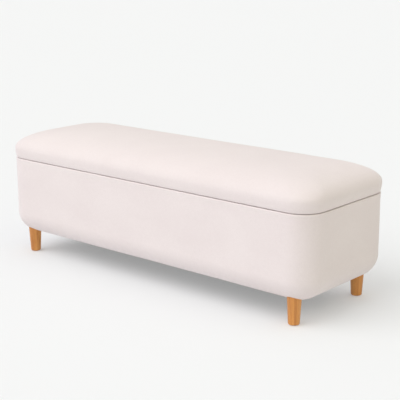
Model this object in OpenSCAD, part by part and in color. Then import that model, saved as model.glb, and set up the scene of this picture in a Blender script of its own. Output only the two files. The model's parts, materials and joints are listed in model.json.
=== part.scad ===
// Storage ottoman bench: an upholstered box on four turned legs, with a padded lid
// hinged along the back seam and held open by two gas struts.
// Frame: millimetres, +Z up, origin on the floor under the middle of the bench.
// X runs along the length, the front faces -Y and the hinges are at +Y.

/* [Overall] */
// Length over the fabric
bench_l = 1300; // [1200:10:1400]
// Depth over the fabric, front to back
bench_d = 442; // [430:2:480]
// Height of the crown of the seat above the floor
seat_h = 445; // [440:1:470]
// Height of the seam between the lid and the base
seam_z = 347; // [340:1:352]
// Height of the underside of the base above the floor
base_z = 74; // [72:1:80]
// Radius of the corners in plan, over the fabric
corner_r = 81; // [80:1:90]
// Radius of the rolled lower edge of the base
base_roll_r = 74; // [70:1:78]

/* [Upholstery] */
// Thickness of the outer fabric with its backing
cover_t = 2; // [1.5:0.5:2.5]
// Thickness of the foam over the side panels
padding_t = 10; // [8:1:12]
// Thickness of the lining cloth inside the storage space
lining_t = 1.5; // [1:0.5:2]
// Opening of the seam between the lid and the base
seam_gap = 4; // [4:0.5:6]
// Radius of the fabric edges along the seam
seam_edge_r = 8; // [7:1:9]
// Radius of the lid's upper edge
lid_edge_r = 50; // [45:1:52]
// Radius of the lid's crown
crown_r = 900; // [800:10:1100]
// Width of the fabric turned under the lid board
turn_under = 40; // [30:1:60]

/* [Frame] */
// Thickness of the side panels and the lid board
panel_t = 15; // [12:1:18]
// Thickness of the storage floor
floor_t = 10; // [9:1:12]
// Height of the chassis rails under the storage floor
rail_h = 36; // [34:1:40]
// Width of the chassis rails
rail_w = 30; // [24:1:40]
// Height of the batten that takes the hinge screws
hinge_rail_h = 40; // [30:1:60]
// Thickness of the leg blocks
leg_block_t = 20; // [18:1:21]
// Length of each arm of a leg block
leg_block_arm = 70; // [60:1:90]

/* [Legs] */
// Distance of each leg from the middle of the bench, lengthways
leg_x = 572; // [571:1:573]
// Distance of each leg from the middle of the bench, front to back
leg_y = 170; // [168:1:171]
// Radius of a leg at its foot
leg_foot_r = 17.5; // [14:0.5:18]
// Radius of a leg at its top
leg_top_r = 22.5; // [19:0.5:22.5]
// Thickness of the glide under each leg
glide_t = 2; // [1.5:0.5:3]

/* [Hinges] */
// Distance of the outer hinges from the middle one
hinge_pitch = 400; // [300:10:450]
// Length of a hinge leaf along the seam
leaf_l = 60; // [50:5:80]
// Width of a hinge leaf, from the pin inwards
leaf_w = 26; // [24:1:28]
// Radius of the hinge knuckles
knuckle_r = 3; // [3:0.1:3.2]
// Radius of the hinge pins
pin_r = 1.6; // [1.4:0.1:1.8]
// Angle through which the lid opens
lid_open = 80; // [60:1:80]

/* [Gas struts] */
// Distance of the two strut pivots from the hinge axis
strut_arm = 200; // [195:1:205]
// Angle of the base pivot below the level of the hinge axis
strut_base_angle = 71; // [70:1:72]
// Angle of the lid pivot below the level of the hinge axis, with the lid shut
strut_lid_angle = 4; // [4:0.5:5]
// Distance of the struts from the middle of the bench
strut_x = 590; // [586:1:590]
// Outer radius of the strut tubes
tube_r = 9; // [8:0.5:10]
// Radius of the strut rods
rod_r = 4; // [3:0.5:4]

/* [Hidden] */
$fn = 96;

LEFT = -1;
RIGHT = 1;
FRONT = -1;
BACK = 1;
BASE = -1;
LID = 1;
eps = 1;

fabric_colour = "#e8e2df";
foam_colour = "#efe3b0";
lining_colour = "#8d8780";
felt_colour = "#2c2b2a";
ply_colour = "#c9a777";
pine_colour = "#d8b98a";
beech_colour = "#c8853f";
steel_colour = "#b9bcc0";
strut_colour = "#26272a";
rubber_colour = "#1b1b1c";

// Plan of the bench: the corner arcs turn about these centres
corner_x = bench_l / 2 - corner_r;
corner_y = bench_d / 2 - corner_r;

// Levels of the base, from the floor up
base_top = seam_z - seam_gap / 2;
rim_z = base_top - cover_t;
rail_z = base_z + cover_t;
floor_z = rail_z + rail_h;
panel_z = floor_z + floor_t;
leg_top_z = floor_z - leg_block_t;

// Insets of the base's layers from the outer face of the fabric
panel_in = cover_t + padding_t;
lining_in = panel_in + panel_t;
inside_in = lining_in + lining_t;
floor_in = panel_in + 4;
leg_block_in = 36;
return_w = 19;
sheet_gap = 0.5;

// Levels and arcs of the lid
lid_z = seam_z + seam_gap / 2;
lid_board_z = lid_z + cover_t;
lid_foam_z = lid_board_z + panel_t;
crown_z = seat_h - crown_r;
shoulder_in = bench_d / 2 - lid_edge_r;
shoulder_z = crown_z + sqrt(pow(crown_r - lid_edge_r, 2) - pow(shoulder_in, 2));
shoulder_slope = shoulder_in / (crown_r - lid_edge_r);
crown_flat = corner_x - corner_y;

// Legs and their fixings
leg_hole_r = leg_top_r + 0.5;
foot_round_r = 3;
foot_round_steps = 4;
bolt_r = 4;
bolt_hole_r = 4.05;
bolt_z0 = 52;
bolt_z1 = 107;
bolt_hole_deep = 1;
nut_r = 5.5;
nut_hole_r = 5.55;
nut_h = 12;
nut_flange_r = 11;
nut_flange_t = 1.5;
nut_flange_clear = 0.3;
bolt_clear_r = 4.3;
glide_r = 11;
glide_edge = 1;

// Hinges, in the seam with their knuckles flush with the back
axis_y = bench_d / 2 - knuckle_r;
axis_z = seam_z;
leaf_t = 1.8;
leaf_clear = 0.3;
knuckles = 5;
knuckle_l = leaf_l / knuckles;
knuckle_gap = 0.25;
pin_hole_r = pin_r + 0.05;
pin_head_r = 2.4;
pin_head_t = 1.2;
screw_r = 1.7;
screw_hole_r = 1.75;
screw_head_r = 3.2;
screw_head_h = 1.5;
screw_l = 14;
leaf_screw_pitch = 20;
leaf_screw_in = 17;
hinge_xs = [-hinge_pitch, 0, hinge_pitch];

// Gas struts, in the plane x = strut_x
base_pivot_y = axis_y - strut_arm * cos(strut_base_angle);
base_pivot_z = axis_z - strut_arm * sin(strut_base_angle);
lid_pivot_y = axis_y - strut_arm * cos(strut_lid_angle);
lid_pivot_z = axis_z - strut_arm * sin(strut_lid_angle);
strut_spread = strut_base_angle - strut_lid_angle;
strut_shut = 2 * strut_arm * sin(strut_spread / 2);
strut_open = 2 * strut_arm * sin((strut_spread + lid_open) / 2);
strut_lean = atan2(base_pivot_y - lid_pivot_y, lid_pivot_z - base_pivot_z);
eye_r = 8;
eye_t = 8;
stud_r = 4;
stud_hole_r = 4.05;
stud_head_r = 6;
stud_head_t = 2;
stud_side_gap = 0.5;
neck_end = 14;
tube_wall = 1.5;
tube_end_t = 2.5;
gland_t = 8;
rod_clear = 0.3;
piston_t = 8;
piston_gap = 3;
stop_gap = 1;
piston_room = piston_gap + strut_open - strut_shut + piston_t + stop_gap;
tube_l = tube_end_t + piston_room + gland_t;
bracket_t = 2;
bracket_x = strut_x + 12;
bracket_half_y = 17;
bracket_half_z = 20;
bracket_screw_y = 10;
bracket_screw_z = 13;
bracket_screw_l = 10;
block_half_y = 22;
block_half_z = 25;
tab_x = strut_x + 10;
tab_half_y = 12;
tab_below = 8;
flange_in = 22;
flange_half_y = 20;
flange_screw_y = 13;
flange_screw_in = 13;

// Rubber pads on the front rim, where the lid comes down
bumper_r = 5;
bumper_t = 3.7;
bumper_in = 16;
bumper_xs = [-450, -150, 150, 450];

// A rounded rectangle in plan, inset from the outer face of the fabric
module plan(inset) {
    w = bench_l - 2 * inset;
    d = bench_d - 2 * inset;
    r = corner_r - inset;
    square([w - 2 * r, d], center = true);
    square([w, d - 2 * r], center = true);
    for (sx = [LEFT, RIGHT], sy = [FRONT, BACK]) {
        translate([sx * corner_x, sy * corner_y])
            circle(r);
    }
}

// Sweeps a section round the plan. The section's x is the distance out from the
// corner centres, so its outer face is at x = corner_r. Its y is the height.
module round_the_plan() {
    turns = [[RIGHT, BACK, 0], [LEFT, BACK, 90], [LEFT, FRONT, 180], [RIGHT, FRONT, 270]];
    for (k = turns) {
        translate([k[0] * corner_x, k[1] * corner_y, 0])
            rotate([0, 0, k[2]])
                rotate_extrude(angle = 90)
                    children();
    }
    for (turn = [90, 270]) {
        rotate([0, 0, turn])
            translate([corner_y, 0, 0])
                rotate([90, 0, 0])
                    linear_extrude(height = 2 * corner_x, center = true)
                        children();
    }
    for (turn = [0, 180]) {
        rotate([0, 0, turn])
            translate([corner_x, 0, 0])
                rotate([90, 0, 0])
                    linear_extrude(height = 2 * corner_y, center = true)
                        children();
    }
}

// A block over the flat middle of the plan, between the corner centres
module middle_block(z0, z1, inset = 0) {
    translate([-corner_x + inset, -corner_y + inset, z0])
        cube([2 * (corner_x - inset), 2 * (corner_y - inset), z1 - z0]);
}

// Section of the base, t in from the outer face of its fabric
module base_section(t) {
    roll_x = corner_r - base_roll_r;
    roll_z = base_z + base_roll_r;
    edge_x = corner_r - seam_edge_r;
    edge_z = base_top - seam_edge_r;
    intersection() {
        translate([0, base_z])
            square([corner_r, base_top - base_z]);
        union() {
            translate([0, base_z + t])
                square([roll_x, base_top - base_z - 2 * t]);
            translate([roll_x, roll_z])
                circle(base_roll_r - t);
            translate([0, roll_z])
                square([corner_r - t, edge_z - roll_z]);
            translate([0, edge_z])
                square([edge_x, seam_edge_r - t]);
            translate([edge_x, edge_z])
                circle(seam_edge_r - t);
        }
    }
}

// Section of the lid, t in from the outer face of its fabric
module lid_section(t) {
    edge_x = corner_r - seam_edge_r;
    edge_z = lid_z + seam_edge_r;
    crown_x = -corner_y;
    crown_end = crown_x + (crown_r - t) * shoulder_slope;
    intersection() {
        translate([0, lid_z])
            square([corner_r, seat_h - lid_z]);
        union() {
            intersection() {
                translate([crown_x, crown_z])
                    circle(crown_r - t);
                translate([0, edge_z])
                    square([crown_end, seat_h - edge_z]);
            }
            translate([corner_r - lid_edge_r, shoulder_z])
                circle(lid_edge_r - t);
            translate([0, edge_z])
                square([corner_r - t, shoulder_z - edge_z]);
            translate([0, lid_z + t])
                square([edge_x, seam_edge_r - t]);
            translate([edge_x, edge_z])
                circle(seam_edge_r - t);
        }
    }
}

// The crowned middle of the lid from a level up, t in from the fabric's top
module lid_middle(z0, t) {
    intersection() {
        rotate([90, 0, 90])
            linear_extrude(height = 2 * corner_x, center = true)
                intersection() {
                    translate([0, crown_z])
                        circle(crown_r - t);
                    translate([-corner_y, z0])
                        square([2 * corner_y, seat_h - z0]);
                }
        rotate([90, 0, 0])
            linear_extrude(height = 2 * corner_y, center = true)
                intersection() {
                    union() {
                        for (s = [LEFT, RIGHT]) {
                            translate([s * crown_flat, crown_z])
                                circle(crown_r - t);
                        }
                        translate([-crown_flat, z0])
                            square([2 * crown_flat, seat_h - t - z0]);
                    }
                    translate([-corner_x, z0])
                        square([2 * corner_x, seat_h - z0]);
                }
    }
}

// Holes through the fabric and the foam for the four leg tops
module leg_holes() {
    for (sx = [LEFT, RIGHT], sy = [FRONT, BACK]) {
        translate([sx * leg_x, sy * leg_y, base_z - eps])
            cylinder(h = leg_top_z - base_z + eps, r = leg_hole_r);
    }
}

// Shape of one leg block in plan: an L outside the chassis rails
module leg_block_plan(sx, sy) {
    arm = leg_block_arm;
    difference() {
        intersection() {
            plan(leg_block_in);
            translate([sx * corner_x, sy * corner_y])
                square(2 * arm, center = true);
        }
        square([2 * corner_x, 2 * corner_y], center = true);
    }
}

module leg_block_blank(sx, sy) {
    translate([0, 0, leg_top_z])
        linear_extrude(height = leg_block_t)
            leg_block_plan(sx, sy);
}

// Countersunk wood screw pointing down, with the top of its head at z = 0
module screw(grow = 0, length = screw_l) {
    translate([0, 0, -screw_head_h])
        cylinder(h = screw_head_h, r1 = screw_r + grow, r2 = screw_head_r + grow);
    translate([0, 0, -length])
        cylinder(h = length, r = screw_r + grow);
}

// Every hinge screw of one leaf level, pointing into the base or into the lid
module hinge_screws(level, grow = 0) {
    head_z = axis_z + level * (seam_gap / 2 - leaf_t);
    for (x = hinge_xs, k = [-1, 0, 1]) {
        translate([x + k * leaf_screw_pitch, axis_y - leaf_screw_in, head_z])
            rotate([level == LID ? 180 : 0, 0, 0])
                screw(grow);
    }
}

module base_cover() {
    color(fabric_colour)
        difference() {
            union() {
                round_the_plan()
                    difference() {
                        base_section(0);
                        base_section(cover_t);
                        translate([-eps, rim_z - eps])
                            square([corner_r - inside_in + eps, cover_t + 2 * eps]);
                    }
                difference() {
                    middle_block(base_z, base_z + cover_t);
                    middle_block(base_z - eps, base_z + cover_t + eps, return_w);
                }
            }
            leg_holes();
            hinge_screws(BASE, screw_hole_r - screw_r);
        }
}

module base_padding() {
    color(foam_colour)
        difference() {
            round_the_plan()
                difference() {
                    base_section(cover_t);
                    translate([-eps, panel_z])
                        square([corner_r - panel_in + eps, base_top]);
                    translate([-eps, floor_z])
                        square([corner_r - floor_in + eps, floor_t + eps]);
                }
            for (sx = [LEFT, RIGHT], sy = [FRONT, BACK]) {
                leg_block_blank(sx, sy);
            }
            leg_holes();
        }
}

// A straight upright panel of one long side
module long_panel(sy, z0, z1) {
    y0 = sy * (bench_d / 2 - panel_in);
    y1 = sy * (bench_d / 2 - lining_in);
    translate([-corner_x, min(y0, y1), z0])
        cube([2 * corner_x, panel_t, z1 - z0]);
}

// A straight upright panel of one end
module end_panel(sx) {
    x0 = sx * (bench_l / 2 - panel_in);
    x1 = sx * (bench_l / 2 - lining_in);
    translate([min(x0, x1), -corner_y, panel_z])
        cube([panel_t, 2 * corner_y, rim_z - panel_z]);
}

module front_panel() {
    color(ply_colour)
        long_panel(FRONT, panel_z, rim_z);
}

module back_panel() {
    color(ply_colour)
        long_panel(BACK, panel_z, rim_z - hinge_rail_h);
}

module left_panel() {
    color(ply_colour)
        end_panel(LEFT);
}

module right_panel() {
    color(ply_colour)
        end_panel(RIGHT);
}

// A bent plywood corner between two panels
module corner_shell(sx, sy, turn) {
    color(ply_colour)
        translate([sx * corner_x, sy * corner_y, panel_z])
            rotate([0, 0, turn])
                rotate_extrude(angle = 90)
                    translate([corner_r - lining_in, 0])
                        square([panel_t, rim_z - panel_z]);
}

module corner_front_left() {
    corner_shell(LEFT, FRONT, 180);
}

module corner_front_right() {
    corner_shell(RIGHT, FRONT, 270);
}

module corner_back_left() {
    corner_shell(LEFT, BACK, 90);
}

module corner_back_right() {
    corner_shell(RIGHT, BACK, 0);
}

module hinge_rail() {
    color(pine_colour)
        difference() {
            long_panel(BACK, rim_z - hinge_rail_h, rim_z);
            hinge_screws(BASE, screw_hole_r - screw_r);
        }
}

module floor_board() {
    color(ply_colour)
        translate([0, 0, floor_z])
            linear_extrude(height = floor_t)
                plan(floor_in);
}

// A chassis rail along one long side
module long_rail(sy) {
    color(pine_colour)
        translate([-corner_x, sy * (corner_y - rail_w / 2) - rail_w / 2, rail_z])
            cube([2 * corner_x, rail_w, rail_h]);
}

// A chassis rail across one end, between the long rails
module end_rail(x) {
    color(pine_colour)
        translate([x - rail_w / 2, -corner_y + rail_w, rail_z])
            cube([rail_w, 2 * (corner_y - rail_w), rail_h]);
}

module front_rail() {
    long_rail(FRONT);
}

module back_rail() {
    long_rail(BACK);
}

module left_rail() {
    end_rail(-corner_x + rail_w / 2);
}

module right_rail() {
    end_rail(corner_x - rail_w / 2);
}

module centre_stretcher() {
    end_rail(0);
}

module leg_block(sx, sy) {
    color(pine_colour)
        difference() {
            leg_block_blank(sx, sy);
            translate([sx * leg_x, sy * leg_y, 0]) {
                translate([0, 0, leg_top_z - eps])
                    cylinder(h = leg_block_t, r = bolt_clear_r);
                translate([0, 0, floor_z - nut_flange_t - nut_h])
                    cylinder(h = nut_h + nut_flange_t, r = nut_hole_r);
                translate([0, 0, floor_z - nut_flange_t])
                    cylinder(h = nut_flange_t + eps, r = nut_flange_r);
            }
        }
}

module leg_block_front_left() {
    leg_block(LEFT, FRONT);
}

module leg_block_front_right() {
    leg_block(RIGHT, FRONT);
}

module leg_block_back_left() {
    leg_block(LEFT, BACK);
}

module leg_block_back_right() {
    leg_block(RIGHT, BACK);
}

module base_lining() {
    color(lining_colour) {
        round_the_plan() {
            translate([corner_r - inside_in, panel_z])
                square([lining_t, rim_z - panel_z]);
            translate([0, panel_z])
                square([corner_r - inside_in + lining_t, lining_t]);
        }
        middle_block(panel_z, panel_z + lining_t);
    }
}

module dust_cover() {
    color(felt_colour)
        middle_block(base_z + sheet_gap, rail_z, return_w + sheet_gap);
}

// Quarter of the rounding at a leg's foot, from its underside to its side
function foot_round(cx, cz) = [
    for (k = [0 : foot_round_steps])
        let (a = -90 + 90 * k / foot_round_steps)
            [cx + foot_round_r * cos(a), cz + foot_round_r * sin(a)]
];

// A turned tapered leg, drilled from above for its bolt
module leg(sx, sy) {
    outline = concat(
        [[0, glide_t]],
        foot_round(leg_foot_r - foot_round_r, glide_t + foot_round_r),
        [[leg_top_r, leg_top_z], [0, leg_top_z]]
    );
    color(beech_colour)
        translate([sx * leg_x, sy * leg_y, 0])
            difference() {
                rotate_extrude()
                    polygon(outline);
                translate([0, 0, bolt_z0 - bolt_hole_deep])
                    cylinder(h = leg_top_z - bolt_z0 + 2 * bolt_hole_deep, r = bolt_hole_r);
            }
}

module leg_front_left() {
    leg(LEFT, FRONT);
}

module leg_front_right() {
    leg(RIGHT, FRONT);
}

module leg_back_left() {
    leg(LEFT, BACK);
}

module leg_back_right() {
    leg(RIGHT, BACK);
}

module hanger_bolts() {
    color(steel_colour)
        for (sx = [LEFT, RIGHT], sy = [FRONT, BACK]) {
            translate([sx * leg_x, sy * leg_y, bolt_z0])
                cylinder(h = bolt_z1 - bolt_z0, r = bolt_r);
        }
}

module leg_nuts() {
    color(steel_colour)
        for (sx = [LEFT, RIGHT], sy = [FRONT, BACK]) {
            translate([sx * leg_x, sy * leg_y, floor_z - nut_flange_t - nut_h])
                difference() {
                    union() {
                        cylinder(h = nut_h, r = nut_r);
                        translate([0, 0, nut_h])
                            cylinder(h = nut_flange_t, r = nut_flange_r - nut_flange_clear);
                    }
                    translate([0, 0, -eps])
                        cylinder(h = nut_h + nut_flange_t + 2 * eps, r = bolt_hole_r);
                }
        }
}

// A nylon glide under one leg, with a bevelled lower edge
module glide(sx, sy) {
    color(rubber_colour)
        translate([sx * leg_x, sy * leg_y, 0]) {
            cylinder(h = glide_edge, r1 = glide_r - glide_edge, r2 = glide_r);
            translate([0, 0, glide_edge])
                cylinder(h = glide_t - glide_edge, r = glide_r);
        }
}

module glide_front_left() {
    glide(LEFT, FRONT);
}

module glide_front_right() {
    glide(RIGHT, FRONT);
}

module glide_back_left() {
    glide(LEFT, BACK);
}

module glide_back_right() {
    glide(RIGHT, BACK);
}

// One leaf of a butt hinge. The base leaf has the odd knuckles, the lid leaf the even.
module hinge_leaf(x, level) {
    plate_z = axis_z + (level == LID ? seam_gap / 2 - leaf_t : -seam_gap / 2);
    plate_end = knuckle_r + leaf_clear;
    first = level == LID ? 1 : 0;
    color(steel_colour)
        difference() {
            union() {
                translate([x - leaf_l / 2, axis_y - leaf_w, plate_z])
                    cube([leaf_l, leaf_w - plate_end, leaf_t]);
                for (k = [first : 2 : knuckles - 1]) {
                    x0 = x - leaf_l / 2 + k * knuckle_l + knuckle_gap;
                    l = knuckle_l - 2 * knuckle_gap;
                    translate([x0, axis_y, axis_z])
                        rotate([0, 90, 0])
                            cylinder(h = l, r = knuckle_r);
                    translate([x0, axis_y - plate_end - eps, plate_z])
                        cube([l, plate_end + eps, leaf_t]);
                }
            }
            translate([x - leaf_l / 2 - eps, axis_y, axis_z])
                rotate([0, 90, 0])
                    cylinder(h = leaf_l + 2 * eps, r = pin_hole_r);
            hinge_screws(level, screw_hole_r - screw_r);
        }
}

module hinge_base_left() {
    hinge_leaf(hinge_xs[0], BASE);
}

module hinge_base_middle() {
    hinge_leaf(hinge_xs[1], BASE);
}

module hinge_base_right() {
    hinge_leaf(hinge_xs[2], BASE);
}

module hinge_lid_left() {
    hinge_leaf(hinge_xs[0], LID);
}

module hinge_lid_middle() {
    hinge_leaf(hinge_xs[1], LID);
}

module hinge_lid_right() {
    hinge_leaf(hinge_xs[2], LID);
}

module hinge_pins() {
    color(steel_colour)
        for (x = hinge_xs) {
            translate([x, axis_y, axis_z])
                rotate([0, 90, 0]) {
                    cylinder(h = leaf_l, r = pin_r, center = true);
                    for (s = [LEFT, RIGHT]) {
                        translate([0, 0, s * (leaf_l + pin_head_t) / 2])
                            cylinder(h = pin_head_t, r = pin_head_r, center = true);
                    }
                }
        }
}

module hinge_screws_base() {
    color(steel_colour)
        hinge_screws(BASE);
}

module hinge_screws_lid() {
    color(steel_colour)
        hinge_screws(LID);
}

// The screws of the base brackets, which point outwards into the strut blocks
module base_bracket_screws(side, grow = 0) {
    for (ky = [-1, 1], kz = [-1, 1]) {
        y = base_pivot_y + ky * bracket_screw_y;
        z = base_pivot_z + kz * bracket_screw_z;
        translate([side * bracket_x, y, z])
            rotate([0, -side * 90, 0])
                screw(grow, bracket_screw_l);
    }
}

// The screws of the lid brackets, which point up into the lid board
module lid_bracket_screws(side, grow = 0) {
    for (ky = [-1, 1]) {
        x = side * (tab_x - flange_screw_in);
        y = lid_pivot_y + ky * flange_screw_y;
        translate([x, y, lid_z - bracket_t])
            rotate([180, 0, 0])
                screw(grow);
    }
}

// A timber block on the end wall that carries a strut's base bracket
module strut_block(side) {
    x0 = bracket_x + bracket_t;
    reach = bench_l / 2 - inside_in - x0;
    color(pine_colour)
        difference() {
            translate([0, 0, base_pivot_z - block_half_z])
                linear_extrude(height = 2 * block_half_z)
                    intersection() {
                        plan(inside_in);
                        translate([side * (x0 + reach / 2), base_pivot_y])
                            square([reach, 2 * block_half_y], center = true);
                    }
            base_bracket_screws(side, screw_hole_r - screw_r);
        }
}

module strut_block_left() {
    strut_block(LEFT);
}

module strut_block_right() {
    strut_block(RIGHT);
}

// The stud that a strut's eye turns on, from a bracket face inwards to its head
module stud(side, from_x) {
    head_x = strut_x - eye_t / 2 - stud_side_gap;
    translate([side * head_x, 0, 0])
        rotate([0, side * 90, 0])
            cylinder(h = from_x - head_x, r = stud_r);
    translate([side * head_x, 0, 0])
        rotate([0, -side * 90, 0])
            cylinder(h = stud_head_t, r = stud_head_r);
}

module strut_bracket_base(side) {
    color(steel_colour)
        difference() {
            union() {
                translate([side * (bracket_x + bracket_t / 2), base_pivot_y, base_pivot_z])
                    cube([bracket_t, 2 * bracket_half_y, 2 * bracket_half_z], center = true);
                translate([0, base_pivot_y, base_pivot_z])
                    stud(side, bracket_x + bracket_t);
            }
            base_bracket_screws(side, screw_hole_r - screw_r);
        }
}

module strut_bracket_base_left() {
    strut_bracket_base(LEFT);
}

module strut_bracket_base_right() {
    strut_bracket_base(RIGHT);
}

// An angle bracket under the lid, with a flange on the lid and a tab for the stud
module strut_bracket_lid(side) {
    tab_z = lid_pivot_z - tab_below;
    color(steel_colour)
        difference() {
            union() {
                translate([side * (tab_x + bracket_t - flange_in / 2), lid_pivot_y,
                           lid_z - bracket_t / 2])
                    cube([flange_in, 2 * flange_half_y, bracket_t], center = true);
                translate([side * (tab_x + bracket_t / 2), lid_pivot_y, (tab_z + lid_z) / 2])
                    cube([bracket_t, 2 * tab_half_y, lid_z - tab_z], center = true);
                translate([0, lid_pivot_y, lid_pivot_z])
                    stud(side, tab_x + bracket_t);
            }
            lid_bracket_screws(side, screw_hole_r - screw_r);
        }
}

module strut_bracket_lid_left() {
    strut_bracket_lid(LEFT);
}

module strut_bracket_lid_right() {
    strut_bracket_lid(RIGHT);
}

module strut_screws_base() {
    color(steel_colour)
        for (side = [LEFT, RIGHT]) {
            base_bracket_screws(side);
        }
}

module strut_screws_lid() {
    color(steel_colour)
        for (side = [LEFT, RIGHT]) {
            lid_bracket_screws(side);
        }
}

module lid_bumpers() {
    color(rubber_colour)
        for (x = bumper_xs) {
            translate([x, -bench_d / 2 + bumper_in, base_top])
                cylinder(h = bumper_t, r = bumper_r);
        }
}

module lid_cover() {
    color(fabric_colour)
        difference() {
            union() {
                round_the_plan()
                    difference() {
                        lid_section(0);
                        lid_section(cover_t);
                        translate([-eps, lid_z - eps])
                            square([corner_r - turn_under + eps, cover_t + 2 * eps]);
                    }
                difference() {
                    lid_middle(lid_foam_z, 0);
                    lid_middle(lid_foam_z - eps, cover_t);
                }
            }
            hinge_screws(LID, screw_hole_r - screw_r);
        }
}

module lid_foam() {
    color(foam_colour) {
        round_the_plan()
            difference() {
                lid_section(cover_t);
                translate([-eps, lid_z])
                    square([corner_r - panel_in + eps, cover_t + panel_t]);
            }
        lid_middle(lid_foam_z, cover_t);
    }
}

module lid_board() {
    color(ply_colour)
        difference() {
            translate([0, 0, lid_board_z])
                linear_extrude(height = panel_t)
                    plan(panel_in);
            hinge_screws(LID, screw_hole_r - screw_r);
            for (side = [LEFT, RIGHT]) {
                lid_bracket_screws(side, screw_hole_r - screw_r);
            }
        }
}

module lid_lining() {
    color(lining_colour)
        difference() {
            translate([0, 0, lid_z])
                linear_extrude(height = cover_t)
                    plan(turn_under + sheet_gap);
            for (side = [LEFT, RIGHT]) {
                lid_bracket_screws(side, screw_hole_r - screw_r);
            }
        }
}

// Places a strut piece: its z runs from the base pivot to the lid pivot
module at_strut(side) {
    translate([side * strut_x, base_pivot_y, base_pivot_z])
        rotate([strut_lean, 0, 0])
            children();
}

// A flat eye across a strut's end
module eye() {
    rotate([0, 90, 0])
        cylinder(h = eye_t, r = eye_r, center = true);
}

// The bore of an eye
module eye_bore() {
    rotate([0, 90, 0])
        cylinder(h = eye_t + 2 * eps, r = stud_hole_r, center = true);
}

// The pressure tube, closed by the eye below and by the rod's gland above
module strut_tube(side) {
    color(strut_colour)
        at_strut(side)
            difference() {
                union() {
                    eye();
                    cylinder(h = neck_end, r = eye_t / 2);
                    translate([0, 0, neck_end])
                        cylinder(h = tube_l, r = tube_r);
                }
                eye_bore();
                translate([0, 0, neck_end + tube_end_t])
                    cylinder(h = piston_room, r = tube_r - tube_wall);
                translate([0, 0, neck_end + tube_end_t])
                    cylinder(h = tube_l, r = rod_r + rod_clear);
            }
}

module strut_tube_left() {
    strut_tube(LEFT);
}

module strut_tube_right() {
    strut_tube(RIGHT);
}

// The rod, with its eye above and the piston inside the tube
module strut_rod(side) {
    piston_z = neck_end + tube_end_t + piston_gap;
    color(steel_colour)
        at_strut(side)
            difference() {
                union() {
                    translate([0, 0, strut_shut])
                        eye();
                    translate([0, 0, piston_z])
                        cylinder(h = strut_shut - piston_z, r = rod_r);
                    translate([0, 0, piston_z])
                        cylinder(h = piston_t, r = tube_r - tube_wall - rod_clear);
                }
                translate([0, 0, strut_shut])
                    eye_bore();
            }
}

module strut_rod_left() {
    strut_rod(LEFT);
}

module strut_rod_right() {
    strut_rod(RIGHT);
}

base_cover();
base_padding();
front_panel();
back_panel();
left_panel();
right_panel();
corner_front_left();
corner_front_right();
corner_back_left();
corner_back_right();
hinge_rail();
floor_board();
front_rail();
back_rail();
left_rail();
right_rail();
centre_stretcher();
leg_block_front_left();
leg_block_front_right();
leg_block_back_left();
leg_block_back_right();
base_lining();
dust_cover();
leg_front_left();
leg_front_right();
leg_back_left();
leg_back_right();
hanger_bolts();
leg_nuts();
glide_front_left();
glide_front_right();
glide_back_left();
glide_back_right();
hinge_base_left();
hinge_base_middle();
hinge_base_right();
hinge_pins();
hinge_screws_base();
strut_block_left();
strut_block_right();
strut_bracket_base_left();
strut_bracket_base_right();
strut_screws_base();
lid_bumpers();
lid_cover();
lid_foam();
lid_board();
lid_lining();
hinge_lid_left();
hinge_lid_middle();
hinge_lid_right();
hinge_screws_lid();
strut_bracket_lid_left();
strut_bracket_lid_right();
strut_screws_lid();
strut_tube_left();
strut_tube_right();
strut_rod_left();
strut_rod_right();
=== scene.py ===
"""Looks of a storage ottoman bench: soft upholstery, wood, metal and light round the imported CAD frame."""
import json
import math

import bmesh
import bpy
import numpy as np
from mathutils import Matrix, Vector, noise


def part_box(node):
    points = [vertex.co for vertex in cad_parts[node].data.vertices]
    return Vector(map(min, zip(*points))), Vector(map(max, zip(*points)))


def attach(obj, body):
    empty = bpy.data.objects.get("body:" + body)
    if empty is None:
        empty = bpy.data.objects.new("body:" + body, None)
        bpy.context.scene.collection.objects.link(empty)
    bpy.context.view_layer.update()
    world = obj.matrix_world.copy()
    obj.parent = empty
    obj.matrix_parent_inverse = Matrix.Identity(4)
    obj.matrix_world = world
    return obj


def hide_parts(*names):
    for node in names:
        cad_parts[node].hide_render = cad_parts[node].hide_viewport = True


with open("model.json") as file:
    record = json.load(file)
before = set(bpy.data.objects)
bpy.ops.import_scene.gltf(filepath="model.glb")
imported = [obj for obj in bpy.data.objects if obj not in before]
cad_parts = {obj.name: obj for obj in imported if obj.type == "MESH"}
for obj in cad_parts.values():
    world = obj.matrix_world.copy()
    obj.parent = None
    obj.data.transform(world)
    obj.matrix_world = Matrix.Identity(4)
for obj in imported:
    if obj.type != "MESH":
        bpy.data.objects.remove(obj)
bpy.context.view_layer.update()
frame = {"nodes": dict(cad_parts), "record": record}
nodes = frame["nodes"]
MM = 0.001

# ---------------------------------------------------------------- sizes, from the frame
# A name that ends in _IN is a distance in from the outer face of the base's fabric.
BASE_LOW, BASE_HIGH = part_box("base_cover")
LID_LOW, LID_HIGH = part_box("lid_cover")
BOARD_LOW, BOARD_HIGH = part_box("lid_board")
FLOOR_LOW, FLOOR_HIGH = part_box("floor_board")
PANEL_LOW, PANEL_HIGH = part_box("front_panel")
RAIL_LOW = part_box("front_rail")[0]
BLOCK_LOW, BLOCK_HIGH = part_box("leg_block_back_right")
HALF_X = BASE_HIGH.x
HALF_Y = BASE_HIGH.y
CORNER_R = HALF_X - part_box("corner_back_right")[0].x
BASE_Z = BASE_LOW.z
RIM_Z = BASE_HIGH.z
LID_Z = LID_LOW.z
CROWN_Z = LID_HIGH.z
PANEL_IN = HALF_Y + PANEL_LOW.y
INSIDE_IN = HALF_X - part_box("strut_block_right")[1].x
FLOOR_IN = HALF_X - FLOOR_HIGH.x
BLOCK_IN = HALF_X - BLOCK_HIGH.x
RETURN_IN = HALF_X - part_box("dust_cover")[1].x
TURN_IN = HALF_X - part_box("lid_lining")[1].x
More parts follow.
